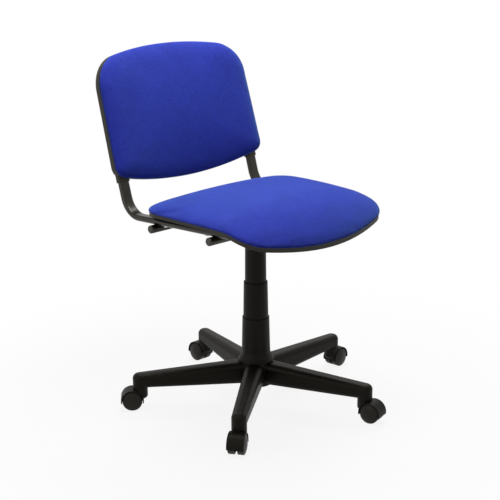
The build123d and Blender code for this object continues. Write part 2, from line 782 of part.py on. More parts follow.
# ================================================================ seat
seat_up = Vector(0, sin(radians(seat_slope)), cos(radians(seat_slope)))
seat_forward = Vector(0, -cos(radians(seat_slope)), sin(radians(seat_slope)))
seat_break_point = Vector(0, -seat_break, seat_rim_height)
seat_arc_centre = seat_break_point - seat_up * seat_front_radius
seat_front_turn = degrees(asin((seat_front - seat_break) / seat_front_radius)) + seat_turn_spare
seat_front_roll_turn = degrees(asin((seat_front - seat_break) / seat_front_roll)) + seat_turn_spare
seat_rear_roll_turn = degrees(asin((seat_rear - seat_rear_roll_start) / seat_rear_roll)) + seat_turn_spare
level_slope = 0.7       # a face or edge that leans less than this runs more along than up


def seat_curve_point(height, turn):
    """Point of the seat's side profile, at a height above the rim line, on the front curve."""
    spoke = seat_up * cos(radians(turn)) + seat_forward * sin(radians(turn))
    return seat_arc_centre + spoke * (seat_front_radius + height)


def height_above_rim(point):
    """Height of a point above the rim line, square to it."""
    if point.Y > -seat_break:
        return (point - seat_break_point).dot(seat_up)
    return (Vector(0, point.Y, point.Z) - seat_arc_centre).length - seat_front_radius


def seat_layer(low, high):
    """Side profile of a layer of the seat between two heights above the rim line."""
    rear = seat_forward * -(seat_rear + seat_break + seat_rear_arch)
    with BuildSketch(Plane.YZ) as layer:
        with BuildLine():
            ends = []
            for height in (low, high):
                start = seat_curve_point(height, 0)
                corners = [seat_curve_point(height, seat_front_turn * share) for share in (0, 0.5, 1)]
                ThreePointArc(*[(corner.Y, corner.Z) for corner in corners])
                Line((start.Y, start.Z), ((start + rear).Y, (start + rear).Z))
                ends.append((start + rear, corners[-1]))
            for low_end, high_end in zip(*ends):
                Line((low_end.Y, low_end.Z), (high_end.Y, high_end.Z))
        make_face()
    return layer.sketch


def seat_outline(inset):
    """Plan outline of the seat, drawn in by an inset."""
    rear_corner = Vector(seat_rear_width / 2, seat_rear - seat_rear_arch)
    front_corner = Vector(seat_front_width / 2, seat_front_arch - seat_front)
    with BuildSketch(Plane.XY) as outline:
        with BuildLine():
            Line(rear_corner, front_corner)
            ThreePointArc(front_corner, (0, -seat_front), (-front_corner.X, front_corner.Y))
            Line((-front_corner.X, front_corner.Y), (-rear_corner.X, rear_corner.Y))
            ThreePointArc((-rear_corner.X, rear_corner.Y), (0, seat_rear), rear_corner)
        make_face()
        fillet(outline.vertices().group_by(Axis.Y)[-1], seat_rear_corner_radius)
        fillet(outline.vertices().group_by(Axis.Y)[0], seat_front_corner_radius)
        if inset > 0:
            offset(amount=-inset)
    return outline.sketch


def seat_block(inset, low, high):
    """Layer of the seat, cut to the outline."""
    with BuildPart() as block:
        extrude(seat_layer(low, high), amount=through_reach, both=True)
        extrude(seat_outline(inset), amount=through_reach, mode=Mode.INTERSECT)
    return block.part


def crown_section(crest):
    """Section across the padding, crowned below its crest."""
    with BuildSketch(Plane(origin=crest, x_dir=(1, 0, 0), z_dir=seat_forward)) as section:
        with Locations((0, -seat_crown_radius)):
            Circle(seat_crown_radius)
        Rectangle(seat_rear_width + seat_side_spare, 2 * seat_slab_depth, mode=Mode.INTERSECT)
    return section.sketch


def seat_crowned_slab(top):
    """Slab whose top is crowned across, level along its middle and rolled down at both ends."""
    level_length = seat_break + seat_rear_roll_start
    front_crest = seat_break_point + seat_up * top
    rear_crest = front_crest - seat_forward * level_length
    with BuildPart() as slab:
        extrude(crown_section(front_crest), amount=-level_length)
        for crest, roll, turn in ((front_crest, seat_front_roll, seat_front_roll_turn),
                                  (rear_crest, seat_rear_roll, -seat_rear_roll_turn)):
            revolve(crown_section(crest), Axis(crest - seat_up * roll, (1, 0, 0)), revolution_arc=turn)
    return slab.part


def seat_cushion(inset, top, rounding):
    """Cushion: padding under the crowned top, cut to the outline, its upper edge rounded."""
    with BuildPart() as cushion:
        add(seat_block(inset, seat_cushion_foot, top))
        add(seat_crowned_slab(top), mode=Mode.INTERSECT)
        walls = cushion.faces().filter_by(lambda face: abs(face.normal_at().Z) < level_slope)
        upper = walls.edges().filter_by(
            lambda edge: height_above_rim(edge @ 0.5) > seat_cushion_foot + cover_cloth)
        fillet(upper.filter_by(lambda edge: abs((edge % 0.5).Z) < level_slope), rounding)
    return cushion.part


def floor_rise(leg_y):
    """Distance from the side tube's centre line to the top of the seat floor, square to the tube."""
    tube_point = leg_plane.from_local_coords(Vector(0, leg_y, 0))
    floor_point = seat_break_point + seat_up * seat_rim_depth
    return (floor_point - tube_point).dot(seat_up) / leg_normal.dot(seat_up)


seat_tray = seat_block(0, 0, seat_rim_depth)
seat_tray_hollow = seat_block(seat_rim_wall, -seat_rim_depth, seat_hollow_top)
seat_padding_outer = seat_cushion(0, seat_cushion_top, seat_cushion_rounding)
seat_padding_inner = seat_cushion(cover_cloth, seat_cushion_top - cover_cloth,
                                  seat_cushion_rounding - cover_cloth)
seat_plywood = seat_block(seat_board_inset, seat_cushion_foot, seat_board_top)

with BuildPart() as seat_bosses:
    with BuildSketch(leg_plane.offset(side_tube_depth / 2)):
        with Locations((0, -seat_screw_setback - seat_screw_spacing / 2)):
            with GridLocations(side_tube_spacing, seat_screw_spacing, 2, 2):
                Circle(seat_boss_radius)
    extrude(amount=seat_rear_width)
    extrude(seat_layer(-seat_slab_depth, seat_rim_depth), amount=through_reach, both=True,
            mode=Mode.INTERSECT)

with BuildPart() as seat_screws:
    for screw_y in (-seat_screw_setback, -seat_screw_setback - seat_screw_spacing):
        for side in (1, -1):
            with BuildSketch(leg_plane.offset(-side_tube_depth / 2 - seat_screw_head_height)):
                with Locations((side * tube_offset, screw_y)):
                    Circle(seat_screw_head_radius)
            extrude(amount=seat_screw_head_height)
            with BuildSketch(leg_plane.offset(-side_tube_depth / 2)):
                with Locations((side * tube_offset, screw_y)):
                    Circle(seat_screw_radius)
            extrude(amount=side_tube_depth / 2 + floor_rise(screw_y) + seat_screw_grip)
finish_part(seat_screws.part, "seat_screws")

with BuildPart() as seat_screw_bores:
    for screw_y in (-seat_screw_setback, -seat_screw_setback - seat_screw_spacing):
        with BuildSketch(leg_plane):
            for side in (1, -1):
                with Locations((side * tube_offset, screw_y)):
                    Circle(seat_screw_radius + seating_gap)
        extrude(amount=floor_rise(screw_y) + seat_screw_grip + seating_gap)

with BuildPart() as seat_shell:
    add(seat_tray)
    add(seat_tray_hollow, mode=Mode.SUBTRACT)
    add(seat_bosses.part)
    add(seat_screw_bores.part, mode=Mode.SUBTRACT)
finish_part(seat_shell.part, "seat_shell")

with BuildPart() as seat_board:
    add(seat_plywood)
    add(seat_screw_bores.part, mode=Mode.SUBTRACT)
finish_part(seat_board.part, "seat_board")

with BuildPart() as seat_foam:
    add(seat_padding_inner)
    add(seat_plywood, mode=Mode.SUBTRACT)
finish_part(seat_foam.part, "seat_foam")

with BuildPart() as seat_cover:
    add(seat_padding_outer)
    add(seat_padding_inner, mode=Mode.SUBTRACT)
finish_part(seat_cover.part, "seat_cover")


# ================================================================ back
def depth_behind_rim(point):
    """Depth of a point behind the curved rim surface of the back."""
    local = back_section.to_local_coords(point)
    return sqrt(local.X**2 + (local.Y - back_curve_centre)**2) - back_radius


def back_outline(inset):
    """Front outline of the back, drawn in by an inset."""
    top_corner = Vector(back_top_width / 2, back_top - back_top_arch)
    foot_corner = Vector(back_half_width, back_foot + back_foot_arch)
    with BuildSketch(back_plane) as outline:
        with BuildLine():
            Line(top_corner, foot_corner)
            ThreePointArc(foot_corner, (0, back_foot), (-foot_corner.X, foot_corner.Y))
            Line((-foot_corner.X, foot_corner.Y), (-top_corner.X, top_corner.Y))
            ThreePointArc((-top_corner.X, top_corner.Y), (0, back_top), top_corner)
        make_face()
        fillet(outline.vertices().group_by(Axis.Y)[-1], back_top_corner_radius)
        fillet(outline.vertices().group_by(Axis.Y)[0], back_foot_corner_radius)
        if inset > 0:
            offset(amount=-inset)
    return outline.sketch


def back_block(inset, front, rear):
    """Curved layer of the back between two depths behind its rim surface, cut to the outline."""
    with BuildPart() as block:
        extrude(back_outline(inset), amount=back_height, both=True)
        with BuildSketch(back_section) as layer:
            with Locations((0, back_curve_centre)):
                Circle(back_radius + rear)
                Circle(back_radius + front, mode=Mode.SUBTRACT)
        extrude(to_extrude=layer.sketch, amount=2 * back_top, mode=Mode.INTERSECT)
    return block.part


def back_cushion(inset, front, rounding):
    """Cushion block of the back with its front edge rounded."""
    with BuildPart() as cushion:
        add(back_block(inset, front, -seating_gap))
        front_edges = cushion.edges().filter_by(lambda edge: depth_behind_rim(edge @ 0.5) < front / 2)
        fillet(front_edges, rounding)
    return cushion.part


def back_pan(inset, front, rear, rounding):
    """Layer of the back with its rear edge rounded."""
    with BuildPart() as pan:
        add(back_block(inset, front, rear))
        rear_edges = pan.edges().filter_by(lambda edge: depth_behind_rim(edge @ 0.5) > rear - back_shell_wall)
        fillet(rear_edges, rounding)
    return pan.part


back_padding_outer = back_cushion(0, -back_cushion_height, back_cushion_rounding)
back_padding_inner = back_cushion(cover_cloth, cover_cloth - back_cushion_height,
                                  back_cushion_rounding - cover_cloth)

back_tray = back_pan(0, 0, back_shell_depth, back_shell_rounding)
back_tray_hollow = back_pan(back_shell_wall, -back_shell_wall, back_shell_depth - back_shell_wall,
                            back_shell_rounding - back_shell_wall)

sleeve_top = upright_length + plug_collar + back_tube_gap


def tube_slots(foot, top, grown):
    """Both side tubes' room inside the back, grown all round by a margin."""
    with BuildPart() as slots:
        with BuildSketch(back_section.offset(foot)):
            with Locations((tube_offset, 0), (-tube_offset, 0)):
                SlotOverall(side_tube_width + 2 * grown, side_tube_depth + 2 * grown)
        extrude(amount=top - foot)
    return slots.part


tube_room = tube_slots(tube_exit - 2 * collar_length, sleeve_top, back_tube_gap)
tube_sleeves = tube_slots(tube_exit - collar_length, sleeve_top + collar_wall, back_tube_gap + collar_wall)
sleeve_room = tube_slots(tube_exit - collar_length, sleeve_top + collar_wall + seating_gap,
                         back_tube_gap + collar_wall + seating_gap)

with BuildPart() as back_screws:
    for foot, radius, length in (
            (-side_tube_depth / 2 - back_screw_head_height, back_screw_head_radius, back_screw_head_height),
            (-side_tube_depth / 2, back_screw_radius, side_tube_depth + back_tube_gap + back_screw_grip)):
        with BuildSketch(back_plane.offset(foot)):
            with Locations((0, back_screw_height + back_screw_spacing / 2)):
                with GridLocations(side_tube_spacing, back_screw_spacing, 2, 2):
                    Circle(radius)
        extrude(amount=length)
finish_part(back_screws.part, "back_screws")

with BuildPart() as back_screw_bores:
    with BuildSketch(back_plane):
        with Locations((0, back_screw_height + back_screw_spacing / 2)):
            with GridLocations(side_tube_spacing, back_screw_spacing, 2, 2):
                Circle(back_screw_radius + seating_gap)
    extrude(amount=side_tube_depth / 2 + back_tube_gap + back_screw_grip + seating_gap)
    with BuildSketch(back_plane.offset(-side_tube_depth / 2)):
        with Locations((0, back_screw_height + back_screw_spacing / 2)):
            with GridLocations(side_tube_spacing, back_screw_spacing, 2, 2):
                Circle(back_screw_head_radius + seating_gap)
    extrude(amount=-back_tube_gap - collar_wall)

with BuildPart() as back_shell:
    add(back_tray)
    add(back_tray_hollow, mode=Mode.SUBTRACT)
    add(tube_sleeves)
    add(tube_room, mode=Mode.SUBTRACT)
    add(back_screw_bores.part, mode=Mode.SUBTRACT)
finish_part(back_shell.part, "back_shell")

with BuildPart() as back_board:
    add(back_block(back_board_inset, 0, back_board_thickness))
    add(sleeve_room, mode=Mode.SUBTRACT)
    add(back_screw_bores.part, mode=Mode.SUBTRACT)
finish_part(back_board.part, "back_board")

with BuildPart() as back_foam:
    add(back_padding_inner)
    add(sleeve_room, mode=Mode.SUBTRACT)
    add(back_screw_bores.part, mode=Mode.SUBTRACT)
finish_part(back_foam.part, "back_foam")

with BuildPart() as back_cover:
    add(back_padding_outer)
    add(back_padding_inner, mode=Mode.SUBTRACT)
    add(sleeve_room, mode=Mode.SUBTRACT)
finish_part(back_cover.part, "back_cover")
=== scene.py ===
"""Swivel office chair: finishes, upholstery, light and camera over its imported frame."""
import json
import math

import bmesh
import bpy
import numpy as np
from mathutils import Matrix, Vector
from mathutils.bvhtree import BVHTree


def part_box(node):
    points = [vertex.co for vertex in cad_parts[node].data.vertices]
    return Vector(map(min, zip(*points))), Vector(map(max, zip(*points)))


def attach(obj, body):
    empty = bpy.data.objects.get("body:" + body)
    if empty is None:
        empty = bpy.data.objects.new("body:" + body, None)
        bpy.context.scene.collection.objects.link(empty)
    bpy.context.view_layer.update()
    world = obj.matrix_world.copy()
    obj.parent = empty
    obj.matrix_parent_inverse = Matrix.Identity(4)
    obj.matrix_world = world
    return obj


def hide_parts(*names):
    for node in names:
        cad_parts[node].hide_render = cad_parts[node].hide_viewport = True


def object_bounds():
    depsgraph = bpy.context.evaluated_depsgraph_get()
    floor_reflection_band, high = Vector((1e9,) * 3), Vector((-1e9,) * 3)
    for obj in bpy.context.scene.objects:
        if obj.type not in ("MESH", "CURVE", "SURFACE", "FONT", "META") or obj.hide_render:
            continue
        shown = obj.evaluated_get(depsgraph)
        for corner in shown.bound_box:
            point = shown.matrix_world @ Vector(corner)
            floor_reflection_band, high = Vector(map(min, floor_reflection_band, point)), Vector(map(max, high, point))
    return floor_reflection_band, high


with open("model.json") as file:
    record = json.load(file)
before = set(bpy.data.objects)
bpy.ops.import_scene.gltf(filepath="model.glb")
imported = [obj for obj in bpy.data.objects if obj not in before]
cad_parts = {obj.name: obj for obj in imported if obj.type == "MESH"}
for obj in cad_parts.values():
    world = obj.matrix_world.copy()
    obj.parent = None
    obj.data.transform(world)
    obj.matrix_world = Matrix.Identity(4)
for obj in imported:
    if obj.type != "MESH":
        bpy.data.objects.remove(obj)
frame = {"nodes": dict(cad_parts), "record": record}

frame_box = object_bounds()
record = frame["record"]
nodes = frame["nodes"]

MILLIMETRE = 0.001
ACROSS = (1.0, 0.0, 0.0)
UP = (0.0, 0.0, 1.0)
DOWN = (0.0, 0.0, -1.0)
TINY = 1e-9                           # keeps a division away from zero

# ---------------------------------------------------------------- cushions
OUTLINE_DIGITS = 5                    # outline corners are told apart down to this digit of a metre
RINGS = 40                            # rings from a cushion's middle to its edge
MIDDLE_ROUNDNESS = 0.85               # how far the inner rings turn from the outline's form to an oval
RIM_INSET = 0.996                     # where the shells' edges are probed, as a share of the outline
PROBE_START = 1.0                     # how far off the probing rays start
EDGE_POWER = 2.8                      # 2 is a quarter circle; more is a fuller side with a softer shoulder
SEAM_CLEARANCE = 0.3 * MILLIMETRE
TUCK = 0.992                          # how far the cloth turns in under the edge, as a share of the width

SEAT_DOME = 24.5 * MILLIMETRE         # how far the seat padding rises from its edge to its flatter middle
SEAT_CROWN = 5 * MILLIMETRE           # how much further the middle is crowned
SEAT_FLAT_SHARE = 0.4                 # where the flatter middle starts, as a share of the way to the edge
SEAT_EDGE_RISE = 9.5 * MILLIMETRE
SEAT_EDGE_ROLL = 32 * MILLIMETRE
SEAT_BELLY = 1.5 * MILLIMETRE         # how far the sides stand out past their seam
SEAT_FOLD = 1.4 * MILLIMETRE          # thickness of the folded cloth at the edge
SEAT_STAND = 1.2 * MILLIMETRE         # how far the cloth stands outside the shell's edge
SEAT_LAP = 4.0 * MILLIMETRE           # how far the cloth laps down over the shell's edge
LAP_POWER = 6                         # how soon the lap fades out towards the middle
BOARD_MARGIN = 13 * MILLIMETRE        # from the edge to where the underside starts to clear the board
BOARD_EASE = 4 * MILLIMETRE           # and the length over which it gets there
UNDERSIDE_LIMIT = 0.6                 # the underside stays below this share of the padding

BACK_DOME = 15 * MILLIMETRE
BACK_EDGE_RISE = 17 * MILLIMETRE
BACK_EDGE_ROLL = 52 * MILLIMETRE
BACK_BELLY = 2.5 * MILLIMETRE
BACK_FOLD = 0.6 * MILLIMETRE
BACK_RECESS = 3 * MILLIMETRE          # how far the underside clears the inner board
BACK_MARGIN = 6 * MILLIMETRE          # from the edge to where it starts to clear it
BACK_EASE = 4 * MILLIMETRE
UPRIGHT_LENGTH = 160 * MILLIMETRE     # straight upper part of a side tube

SWELL_CAP = 3.0 * MILLIMETRE          # how far the padding may press its cloth outwards
SWELL_FRAMES = 20                     # steps the cloth takes to settle
CLOTH = {"quality": 6, "mass": 0.3, "tension_stiffness": 40, "compression_stiffness": 40,
         "shear_stiffness": 15, "bending_stiffness": 2, "use_pressure": True,
         "uniform_pressure_force": 4.0}

# ---------------------------------------------------------------- camera, in metres and degrees
VIEW_AZIMUTH = -43.03
VIEW_ELEVATION = 17.79
VIEW_ROLL = -0.29
VIEW_DISTANCE = 3.008
VIEW_TARGET = Vector((0, 0, 0.350))
LENS = 86.8
SENSOR_WIDTH = 36
SHIFT_X = -0.0112
SHIFT_Y = 0.0388
FAR_CLIP = 100

# ---------------------------------------------------------------- light and floor, in metres and watts
LIGHT_START = -0.1                    # height in the sky where the light starts to grow; 1 is overhead
HORIZON_LIGHT = 0.02
OVERHEAD_LIGHT = 0.07
LAMPS = (                             # name, place, what it is aimed at, size, power
    ("key", (0.0, 0.0, 2.35), (0, 0, 0.5), 1.2, 32),
    ("side", (1.3, 0.7, 2.2), (0, 0, 0.5), 1.2, 19),
    ("left", (-2.3, 0.3, 0.9), (0, 0, 0.6), 1.6, 9),
    ("fill", (-2.2, -1.9, 1.5), (0, 0, 0.5), 1.6, 1.0),
)
FLOOR_RADIUS = 30.0
FLOOR_SEGMENTS = 96
FLOOR_DROP = 0.0005
FADE_START = 0.45                     # from here to FADE_END the floor turns fully white
FADE_END = 1.1
NEAR_WHITE = 0.89                     # how white the floor is near the chair
FLOOR_PAINT = (0.40, 0.40, 0.40)
FLOOR_PAINT_SEEN = (0.92, 0.92, 0.92)
WHITE = (1.0, 1.0, 1.0)

# ---------------------------------------------------------------- finishes
# The scale of a noise or of a grain is in clouds or pebbles to the metre. Shares and weights go from 0 to 1.
WARM_SHEEN = (1.0, 0.94, 0.82, 1.0)
DEEP_BLACK = (0.0016, 0.0014, 0.0009)
THREAD_PITCH = 1.25 * MILLIMETRE
THREAD_WANDER = 0.6                   # how far a thread strays from its line, as a share of the pitch
FIBRE_FINE = 900.0                    # scale of the fibres' streaks across a thread
FIBRE_LONG = 40.0                     # and along it
FABRIC_TONES = (0.72, 1.67)           # unevenness that gives the darkest and the palest thread
FABRIC_SHADE = (0.017, 0.024, 0.28)
FABRIC_BLUE = (0.042, 0.062, 0.60)
FABRIC_SHEEN = (0.42, 1.0, 0.92, 1.0)
SEAT_RUN = (0.0, 1.0, 0.7)            # the way the seat's threads run, also down its slopes
WHEEL_FLOOR_REFLECTION = (0.030, 0.004)           # heights between which a painted reflection of the floor, with fine scratches, grows on a wheel towards the floor
PLY_WAVES = 3100.0                    # radians to the metre: a dark and a pale layer every 2 mm


# ================================================================ shader building
class Value:
    """A shader output that adds Math nodes when it takes part in arithmetic."""

    def __init__(self, finish, socket):
        self.finish = finish
        self.socket = socket

    def math(self, operation, first, second):
        """Add one Math node."""
        return self.finish.node("ShaderNodeMath", {"operation": operation}, {0: first, 1: second})

    def __add__(self, other):
        return self.math("ADD", self, other)

    def __radd__(self, other):
        return self.math("ADD", other, self)

    def __sub__(self, other):
        return self.math("SUBTRACT", self, other)

    def __rsub__(self, other):
        return self.math("SUBTRACT", other, self)

    def __mul__(self, other):
        return self.math("MULTIPLY", self, other)

    def __rmul__(self, other):
        return self.math("MULTIPLY", other, self)

    def __abs__(self):
        return self.math("ABSOLUTE", self, 0.0)


class Finish:
    """One material and its node tree."""

    def __init__(self, name):
        self.material = bpy.data.materials.new(name)
        self.material.use_nodes = True
        self.tree = self.material.node_tree
        self.tree.nodes.clear()

    @classmethod
    def of_tree(cls, tree):
        """Build in a node tree that is already there, such as the world's."""
        finish = cls.__new__(cls)
        finish.tree = tree
        tree.nodes.clear()
        return finish

    def node(self, kind, settings, sockets, output=0):
        """Add a node: its settings first, then the values or links of its sockets."""
        made = self.tree.nodes.new(kind)
        for name, setting in settings.items():
            setattr(made, name, setting)
        for name, value in sockets.items():
            if isinstance(value, Value):
                self.tree.links.new(value.socket, made.inputs[name])
            else:
                made.inputs[name].default_value = value
        return Value(self, made.outputs[output]) if made.outputs else None

    def place(self):
        """Where a point is on the piece, in metres."""
        return self.node("ShaderNodeTexCoord", {}, {}, "Object")

    def facing(self):
        """Which way the surface faces."""
        return self.node("ShaderNodeNewGeometry", {}, {}, "Normal")

    def along(self, vector, direction):
        """How far a vector reaches along a direction."""
        settings = {"operation": "DOT_PRODUCT"}
        return self.node("ShaderNodeVectorMath", settings, {0: vector, 1: direction}, "Value")

    def stretched(self, vector, factors):
        """A vector with each part multiplied by its own factor."""
        return self.node("ShaderNodeVectorMath", {"operation": "MULTIPLY"}, {0: vector, 1: factors})

    def combined(self, first, second, third):
        """A vector made of three values."""
        return self.node("ShaderNodeCombineXYZ", {}, {0: first, 1: second, 2: third})

    def sine(self, value):
        """A wave from -1 to 1 along a value."""
        return self.node("ShaderNodeMath", {"operation": "SINE"}, {0: value})

    def noise(self, vector, scale, detail=2.0, roughness=0.5):
        """Cloudy noise from 0 to 1."""
        sockets = {"Vector": vector, "Scale": scale, "Detail": detail, "Roughness": roughness}
        return self.node("ShaderNodeTexNoise", {}, sockets, 0)

    def cells(self, vector, scale):
        """Distance to the nearest of many scattered points, for pebbled grain."""
        return self.node("ShaderNodeTexVoronoi", {"feature": "F1"}, {"Vector": vector, "Scale": scale}, 0)

    def ramped(self, value, floor_reflection_band, high, start=0.0, end=1.0):
        """Ease from start to end while a value goes from low to high."""
        settings = {"interpolation_type": "SMOOTHSTEP", "clamp": True}
        sockets = {"Value": value, 1: floor_reflection_band, 2: high, 3: start, 4: end}
        return self.node("ShaderNodeMapRange", settings, sockets)

    def mixed(self, factor, first, second):
        """A colour between two others."""
        settings = {"data_type": "RGBA", "blend_type": "MIX", "clamp_factor": True}
        return self.node("ShaderNodeMix", settings, {0: factor, 6: colour4(first), 7: colour4(second)}, 2)

    def bumped(self, height, strength, distance):
        """A normal that follows a height."""
        sockets = {"Height": height, "Strength": strength, "Distance": distance}
        return self.node("ShaderNodeBump", {}, sockets)

    def seen(self):
        """1 where a surface is seen, reflected or seen through glass, and 0 where it only gives light."""
        rays = [self.node("ShaderNodeLightPath", {}, {}, ray)
                for ray in ("Is Camera Ray", "Is Glossy Ray", "Is Transmission Ray")]
        return self.ramped(rays[0] + rays[1] + rays[2], 0.0, 1.0)

    def surface(self, colour, roughness, normal, **constants):
        """Finish the material with one Principled surface."""
        sockets = {"Base Color": colour4(colour), "Roughness": roughness, "Normal": normal}
        for name, value in constants.items():
            sockets[name.replace("_", " ")] = value
        self.end(self.node("ShaderNodeBsdfPrincipled", {}, sockets))
        return self.material

    def end(self, shader, kind="ShaderNodeOutputMaterial"):
        """End the tree with this shader."""
        self.node(kind, {}, {"Surface": shader})


def colour4(colour):
    """A colour as a socket takes it; a linked colour stays as it is."""
    if isinstance(colour, Value):
        return colour
    return (*colour, 1.0)


# ================================================================ finishes
def woven_fabric(name, run):
    """Blue flat-woven upholstery: warp across the chair, weft along a run."""
    finish = Finish(name)
    place = finish.place()
    across = finish.along(place, ACROSS)
    along = finish.along(place, run)
    wander = (finish.noise(place, 60.0) - 0.5) * (THREAD_WANDER * THREAD_PITCH)
    warp = finish.sine((across + wander) * (math.pi / THREAD_PITCH))
    weft = finish.sine((along + wander) * (math.pi / THREAD_PITCH))
    over = finish.ramped(warp * weft, -0.25, 0.25)
    threads = abs(warp) * over + abs(weft) * (1.0 - over)
    warp_fibres = finish.combined(across * FIBRE_FINE, along * FIBRE_LONG, 0.0)
    weft_fibres = finish.combined(across * FIBRE_LONG, along * FIBRE_FINE, 3.0)
    streaks_across = finish.noise(warp_fibres, 1.0, 1.0)
    streaks_along = finish.noise(weft_fibres, 1.0, 1.0)
    streaks = streaks_across * over + streaks_along * (1.0 - over)
    patches = finish.noise(place, 9.0, 4.0, 0.6)
    mottle = finish.noise(place, 170.0, 3.0, 0.65)
    fuzz = finish.noise(place, 2600.0, 2.0)
    uneven = streaks * 1.1 + patches * 0.45 + mottle * 0.35
    shade = finish.ramped(threads * 0.5 + uneven, *FABRIC_TONES)
    colour = finish.mixed(shade, FABRIC_SHADE, FABRIC_BLUE)
    rough = 0.82 + 0.12 * fuzz
    normal = finish.bumped(threads + fuzz * 0.35, 0.70, 0.25 * MILLIMETRE)
    return finish.surface(colour, rough, normal, Sheen_Weight=0.40, Sheen_Roughness=0.40,
                          Sheen_Tint=FABRIC_SHEEN, Specular_IOR_Level=0.15)


def moulded_plastic(name, light, grain, gloss, sheen, dark=DEEP_BLACK, scuffs=0.0):
    """Black moulded plastic: pebbled grain, dust and specks, and scuffs where it faces up."""
    finish = Finish(name)
    place = finish.place()
    pebbles = finish.cells(place, grain)
    cloud = finish.noise(place, 14.0, 4.0, 0.6)
    upward = finish.ramped(finish.along(finish.facing(), UP), 0.25, 0.95)
    scratches = finish.noise(finish.stretched(place, (420.0, 60.0, 200.0)), 1.0, 3.0, 0.7)
    rubbed = finish.ramped(scratches, 0.56, 0.80) * upward * scuffs
    dust = finish.ramped(cloud, 0.35, 0.75) * (0.35 + 0.65 * upward)
    specks = finish.ramped(finish.noise(place, 350.0, 3.0, 0.7), 0.40, 0.70)
    colour = finish.mixed(dust * 0.6 + rubbed + specks * 0.4, dark, light)
    rough = gloss + 0.10 * cloud + 0.15 * rubbed
    normal = finish.bumped(pebbles + scratches * 0.2, 0.25, 0.12 * MILLIMETRE)
    return finish.surface(colour, rough, normal, Specular_IOR_Level=sheen, Specular_Tint=WARM_SHEEN)


def powder_coat(name):
    """Black powder-coated tube: fine orange peel and a cloudy, uneven tone."""
    finish = Finish(name)
    place = finish.place()
    peel = finish.noise(place, 900.0, 2.0)
    cloud = finish.noise(place, 22.0, 3.0, 0.6)
    colour = finish.mixed(finish.ramped(cloud, 0.3, 0.8), DEEP_BLACK, (0.011, 0.010, 0.009))
    rough = 0.22 + 0.14 * cloud
    normal = finish.bumped(peel, 0.30, 0.10 * MILLIMETRE)
    return finish.surface(colour, rough, normal, Specular_IOR_Level=0.42, Specular_Tint=WARM_SHEEN)


def wheel_plastic(name):
    """Smooth black wheel, cloudy with dust, made lighter near the floor by a painted reflection of the
    floor, with fine scratches there.
    """
    finish = Finish(name)
    place = finish.place()
    cloud = finish.noise(place, 60.0, 4.0, 0.65)
    scratches = finish.noise(finish.stretched(place, (300.0, 300.0, 900.0)), 1.0, 3.0, 0.7)
    # painted reflection: each wheel is made lighter towards its bottom, as if it mirrored the white floor,
    # and its fine scratches show only there
    floor_reflection_band = finish.ramped(finish.along(place, UP), *WHEEL_FLOOR_REFLECTION)
    scratches_and_floor_reflection = finish.ramped(scratches, 0.52, 0.78) * floor_reflection_band
    # the light end of this mix, near the floor, is the painted floor reflection
    colour = finish.mixed(scratches_and_floor_reflection * 0.7 + cloud * 0.25, (0.0055, 0.0050, 0.0042), (0.030, 0.028, 0.025))
    rough = 0.32 + 0.20 * cloud + 0.15 * scratches_and_floor_reflection
    normal = finish.bumped(scratches, 0.12, 0.10 * MILLIMETRE)
    return finish.surface(colour, rough, normal, Specular_IOR_Level=0.22, Specular_Tint=WARM_SHEEN)


def drawn_metal(name, dark, light, base_rough):
    """Plated or drawn steel: streaks along its length and a cloudy haze."""
    finish = Finish(name)
    place = finish.place()
    streaks = finish.noise(finish.stretched(place, (900.0, 900.0, 30.0)), 1.0, 3.0, 0.6)
    haze = finish.noise(place, 45.0, 4.0, 0.6)
    colour = finish.mixed(haze * 0.6 + streaks * 0.4, dark, light)
    rough = base_rough + 0.15 * haze + 0.08 * streaks
    normal = finish.bumped(streaks, 0.10, 0.05 * MILLIMETRE)
    return finish.surface(colour, rough, normal, Metallic=1.0)


def plain_polymer(name, dark, light, base_rough, grain):
    """Acetal or rubber: a little mottling and a fine skin."""
    finish = Finish(name)
    place = finish.place()
    mottle = finish.noise(place, 50.0, 4.0, 0.6)
    skin = finish.noise(place, grain, 2.0)
    colour = finish.mixed(mottle, dark, light)
    rough = base_rough + 0.12 * mottle
    normal = finish.bumped(skin, 0.20, 0.08 * MILLIMETRE)
    return finish.surface(colour, rough, normal, Specular_IOR_Level=0.4)


def birch_plywood(name):
    """Pale plywood: long wavy grain and glued layers."""
    finish = Finish(name)
    place = finish.place()
    waver = finish.noise(place, 6.0, 3.0)
    grain = finish.noise(finish.stretched(place, (220.0, 12.0, 60.0)), 1.0, 4.0, 0.65)
    layers = finish.sine(finish.along(place, UP) * PLY_WAVES)
    shade = finish.ramped(grain + waver * 0.4 + layers * 0.05, 0.4, 1.0)
    colour = finish.mixed(shade, (0.36, 0.22, 0.11), (0.66, 0.48, 0.29))
    normal = finish.bumped(grain, 0.25, 0.15 * MILLIMETRE)
    return finish.surface(colour, 0.62 + 0.15 * grain, normal, Specular_IOR_Level=0.35)


def cut_foam(name):
    """Pale open-cell foam."""
    finish = Finish(name)
    place = finish.place()
    pores = finish.cells(place, 900.0)
    cloud = finish.noise(place, 30.0, 3.0)
    colour = finish.mixed(cloud, (0.62, 0.58, 0.42), (0.78, 0.74, 0.58))
    normal = finish.bumped(pores, 0.6, 0.5 * MILLIMETRE)
    return finish.surface(colour, 0.85 + 0.1 * cloud, normal, Specular_IOR_Level=0.15)


